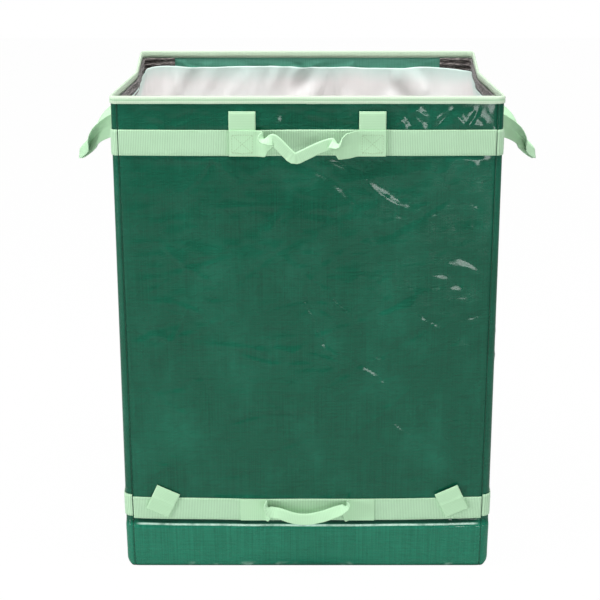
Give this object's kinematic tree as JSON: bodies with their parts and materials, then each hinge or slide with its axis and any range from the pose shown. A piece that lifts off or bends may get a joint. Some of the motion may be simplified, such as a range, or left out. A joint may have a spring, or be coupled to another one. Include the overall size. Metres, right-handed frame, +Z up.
{
  "type": "woven parcel sack",
  "caption": "Tall open box-shaped sack of laminated woven plastic, with a bound mouth, sewn webbing bands, handles and tabs, and a loose film bag inside.",
  "frame": {"origin": "middle of the base, on the floor", "axes": "+Z up, +X to the right of the front, the front faces -Y"},
  "size_m": [0.7718, 0.5382, 0.8],
  "materials": {
    "green_fabric": "glossy laminated tape weave",
    "mint_webbing": "ribbed matt webbing",
    "black_tape": "soft matt tape",
    "milky_film": "milky translucent film"
  },
  "bodies": {
    "root": {"front_panel": "green_fabric", "right_panel": "green_fabric", "back_panel": "green_fabric", "left_panel": "green_fabric", "base_panel": "green_fabric", "inner_liner": "milky_film", "rim_binding": "mint_webbing", "right_closure_tape": "black_tape", "left_closure_tape": "black_tape", "front_upper_band": "mint_webbing", "front_lower_band": "mint_webbing", "right_upper_band": "mint_webbing", "right_lower_band": "mint_webbing", "back_upper_band": "mint_webbing", "back_lower_band": "mint_webbing", "left_upper_band": "mint_webbing", "left_lower_band": "mint_webbing", "front_upper_tab_a": "mint_webbing", "front_upper_tab_b": "mint_webbing", "right_upper_tab_a": "mint_webbing", "right_upper_tab_b": "mint_webbing", "back_upper_tab_a": "mint_webbing", "back_upper_tab_b": "mint_webbing", "left_upper_tab_a": "mint_webbing", "left_upper_tab_b": "mint_webbing", "front_lower_tab_a": "mint_webbing", "front_lower_tab_b": "mint_webbing", "back_lower_tab_a": "mint_webbing", "back_lower_tab_b": "mint_webbing", "front_upper_handle": "mint_webbing", "right_upper_handle": "mint_webbing", "back_upper_handle": "mint_webbing", "left_upper_handle": "mint_webbing", "front_lower_handle": "mint_webbing", "back_lower_handle": "mint_webbing"}
  },
  "joints": []
}
